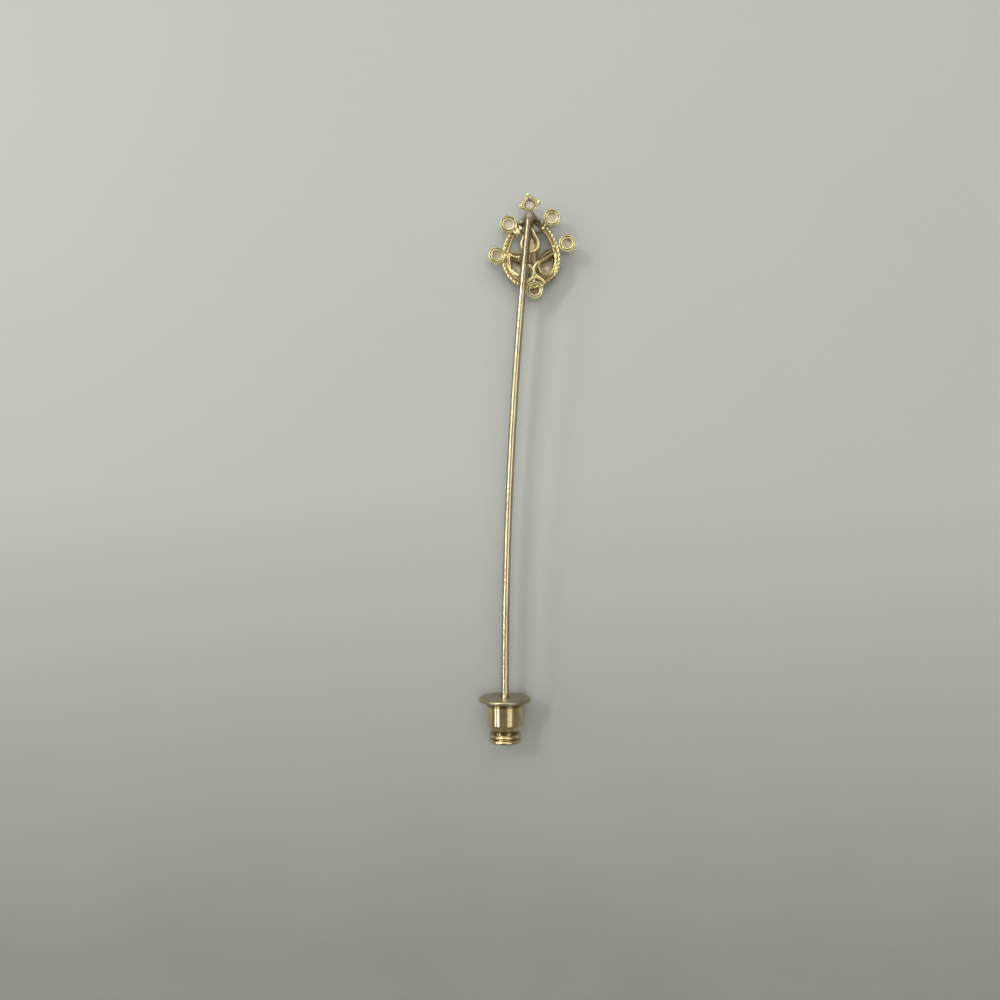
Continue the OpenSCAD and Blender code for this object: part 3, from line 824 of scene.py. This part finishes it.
# How far inside the clutch, and the share of the full thickness there
GROUND_POINT = [(1.3, 1.0), (2.55, 0.98), (3.4, 0.62), (4.0, 0.36), (4.22, 0.24), (4.29, 0.12)]
root = on_head(*STEM_END)
run = root.y - FACE_Y
side = Vector((root.x - FACE_X, 0, STEM_RISE))
print("stem rises", round(side.z, 2), "mm and moves", round(side.x, 2), "mm sideways over",
      round(run, 1), "mm")
path, sizes = [], []
for i in range(STEM_STEPS + 1):
    f = 0.995 * (1 - i / STEM_STEPS)
    path.append(Vector((FACE_X, FACE_Y + run * f, AXIS_Z)) + side * f * f)
    sizes.append(1.0 - WAVER * (1 - cos(f * WAVES)) * 0.5)
for down, size in GROUND_POINT:
    path.append(Vector((FACE_X, FACE_Y - down, AXIS_Z)))
    sizes.append(size)
bm = bmesh.new()
draw_wire(bm, path, (STEM_R, STEM_R), sides=20, sizes=sizes)
finish_piece(bm, "stem", "pin", STEM_GOLD, ["head_and_stem"])

# %% [markdown]
# ## The solder
# Solder flows, so it has no edges of its own: it runs from the stem's end down both sides of the
# border's point and thickens at the ends. Flattened balls are set where the solder is thick, and a
# voxel remesh joins them to one skin, which is smoothed. The remesh is done in millimetres, because
# its smallest step in metres is too coarse.

# %% Flow the solder
def melt(bm, name, voxel, rounds):
    """Joins overlapping shapes to one smooth skin and returns it as a new drawing."""
    mesh = bpy.data.meshes.new(name)
    bm.to_mesh(mesh)
    bm.free()
    lump = bpy.data.objects.new(name, mesh)
    bpy.context.scene.collection.objects.link(lump)
    remesh = lump.modifiers.new("remesh", "REMESH")
    remesh.mode = "VOXEL"
    remesh.voxel_size = voxel
    soften = lump.modifiers.new("soften", "SMOOTH")
    soften.factor = 0.5
    soften.iterations = rounds
    graph = bpy.context.evaluated_depsgraph_get()
    skin = bpy.data.meshes.new_from_object(lump.evaluated_get(graph))
    out = bmesh.new()
    out.from_mesh(skin)
    bpy.data.objects.remove(lump)
    bpy.data.meshes.remove(skin)
    return out


# Each spot: its place on the head, its height and its radius
SPOTS = [(0.02, 4.38, 3.05, 0.44), (-0.02, 4.18, 3.45, 0.5), (-0.08, 4.02, 3.85, 0.5),
         (-0.1, 3.94, 4.24, 0.5), (-0.12, 3.7, 4.36, 0.52), (-0.14, 3.42, 4.24, 0.5),
         (-0.15, 3.2, 3.95, 0.46), (-0.12, 3.85, 3.45, 0.54), (-0.1, 3.5, 3.7, 0.4),
         (-0.4, 3.8, 3.95, 0.42), (0.2, 3.82, 3.95, 0.42), (-0.62, 3.7, 3.5, 0.38),
         (0.42, 3.8, 3.5, 0.36), (-0.35, 3.85, 3.1, 0.4), (-0.6, 3.68, 3.0, 0.33),
         (-0.85, 3.52, 2.98, 0.3), (-1.1, 3.42, 2.98, 0.3), (0.15, 4.05, 3.1, 0.42),
         (0.45, 3.92, 2.98, 0.32), (0.75, 3.75, 2.92, 0.26), (1.0, 3.6, 2.9, 0.25)]
bm = bmesh.new()
for x, y, z, r in SPOTS:
    bead(bm, on_head(x, y, z), r, flat=0.85)
bm = melt(bm, "solder_lump", voxel=0.07, rounds=14)
finish_piece(bm, "solder", "pin", SOLDER, ["head_and_stem"], crisp=70)

# %% [markdown]
# ## The clutch
# The slip-on clutch is spun from thin sheet: a flat face plate with a rolled edge, a barrel that
# tapers to a waist, and a foot with two beads that gives the fingers a hold. All of it is round, so
# both pieces are turned, each from one outline. A real barrel is nearly mirror bright, so the
# roundings matter: each gives its own highlight. A painted shadow of the plate lies in the shallow
# groove behind it, and the waist and the groove between the beads get dirt and painted shade.

# %% Turn the face plate and the barrel
PLATE = [(0.52, 0.0), (2.78, 0.0), (2.93, 0.06), (2.995, 0.2), (2.995, 0.36), (2.92, 0.5),
         (1.78, 0.5), (1.78, 0.85), (0.52, 0.85)]
BARREL = [(1.8, 0.52), (2.09, 0.52), (2.09, 0.92), (2.1, 1.05), (2.1, 3.0), (2.04, 3.25),
          (1.82, 3.52), (1.68, 3.7), (1.65, 3.9), (1.65, 4.17), (1.74, 4.22), (1.81, 4.31),
          (1.835, 4.42), (1.8, 4.53), (1.72, 4.6), (1.69, 4.69), (1.8, 4.73), (1.88, 4.81),
          (1.92, 4.92), (1.91, 5.03), (1.83, 5.13), (1.7, 5.2), (0.0, 5.2), (0.0, 4.7),
          (0.64, 4.7), (0.64, 3.15), (1.8, 3.15)]
# Corners darkened with painted shade: behind the plate, in the waist and between the beads
BARREL_GROOVES = (1, 2, 7, 8, 9, 14, 15)
bm = bmesh.new()
turn_profile(bm, PLATE, 0.06, steps=96, place=CLUTCH)
finish_piece(bm, "face_plate", "clutch", PLATE_GOLD, ["clutch_flange"])

bm = bmesh.new()
turn_profile(bm, BARREL, 0.05, steps=96, place=CLUTCH, dark_corners=BARREL_GROOVES, dirt_and_shade_amount=0.6)
finish_piece(bm, "barrel", "clutch", CLUTCH_GOLD, ["clutch_barrel"])

# %% [markdown]
# ## Floor and light
# The floor is plain and pale. Its colour gets a little darker towards the clutch: a painted falloff
# of the light. Polished metal shows what stands round it, so the lamps are placed by the highlights
# on the barrel: two narrow strips on the left and a wide dim one on the right. The stem's shadow
# shows where the main lamp is, and one more lamp lights the floor from beyond the head. The room
# fills the shadows, mostly from overhead, so that light reaches down into the head's openings. The
# gold sees a dimmer room, which gives it its dark parts.

# %% Lay the floor
bm = bmesh.new()
bmesh.ops.create_grid(bm, x_segments=8, y_segments=8, size=1.5)
mesh = bpy.data.meshes.new("floor")
bm.to_mesh(mesh)
bm.free()
floor = bpy.data.objects.new("floor", mesh)
bpy.context.scene.collection.objects.link(floor)
FLOOR, tree, principled, coords = new_material("pale_floor", Roughness=0.5)
# Painted falloff of light: the floor's colour darkens towards the clutch
along = spread(tree, axis_of(tree, coords, "Y"), -0.058, -0.002)
tone = blend_colour(tree, along, (0.16, 0.169, 0.154, 1), (0.298, 0.314, 0.297, 1))
mottle = spread(tree, noise(tree, coords, 0.05), 0.3, 0.7, 0.0, 0.12)
tree.links.new(blend_colour(tree, mottle, tone, (0.28, 0.285, 0.27, 1)),
               principled.inputs["Base Color"])
mesh.materials.append(FLOOR)
print("floor laid")

# %% Hang the lamps
LAMP_AWAY, LAMP_COLOUR = 0.6, (1, 0.98, 0.94)


def lamp(name, left_deg, north_deg, wide, long, watts):
    """A flat lamp that faces the pin, at angles from straight up to the left and to the head."""
    data = bpy.data.lights.new(name, "AREA")
    data.shape = "RECTANGLE"
    data.size, data.size_y = wide, long
    data.energy, data.color = watts, LAMP_COLOUR
    thing = bpy.data.objects.new(name, data)
    left, north = radians(left_deg), radians(north_deg)
    where = Vector((-sin(left), sin(north), cos(left))).normalized()
    across = Vector((0, 1, 0)).cross(where).normalized()
    thing.matrix_world = (Matrix.Translation(where * LAMP_AWAY)
                          @ Matrix((across, where.cross(across), where)).transposed().to_4x4())
    bpy.context.scene.collection.objects.link(thing)


lamp("main", 33, 20, 0.05, 0.08, 0.92)
lamp("strip_near", 43, 6, 0.05, 0.8, 0.85)
lamp("strip_far", 62, 6, 0.05, 0.8, 0.62)
lamp("wide_right", -30, 8, 0.34, 1.0, 1.0)
lamp("north", 5, 48, 0.5, 0.25, 1.15)

# %% Fill the room
world = bpy.data.worlds.new("room")
bpy.context.scene.world = world
world.use_nodes = True
room = world.node_tree
ray = room.nodes.new("ShaderNodeLightPath").outputs
towards = room.nodes.new("ShaderNodeTexCoord").outputs["Generated"]
height = maths(room, "MAXIMUM", axis_of(room, towards, "Z"), 0.0)
overhead = maths(room, "POWER", height, 40.0)
fill = blend_colour(room, overhead, (0.11, 0.11, 0.11, 1), (14.8, 14.3, 13.5, 1))
tone = blend_colour(room, ray["Is Diffuse Ray"], (0.23, 0.205, 0.165, 1), fill)
tone = blend_colour(room, ray["Is Camera Ray"], tone, (0.5, 0.51, 0.49, 1))
sky = room.nodes["Background"]
room.links.new(tone, sky.inputs["Color"])
sky.inputs["Strength"].default_value = 1.0
bpy.context.scene.view_settings.view_transform = "Standard"
bpy.context.scene.view_settings.look = "None"
print("room filled")
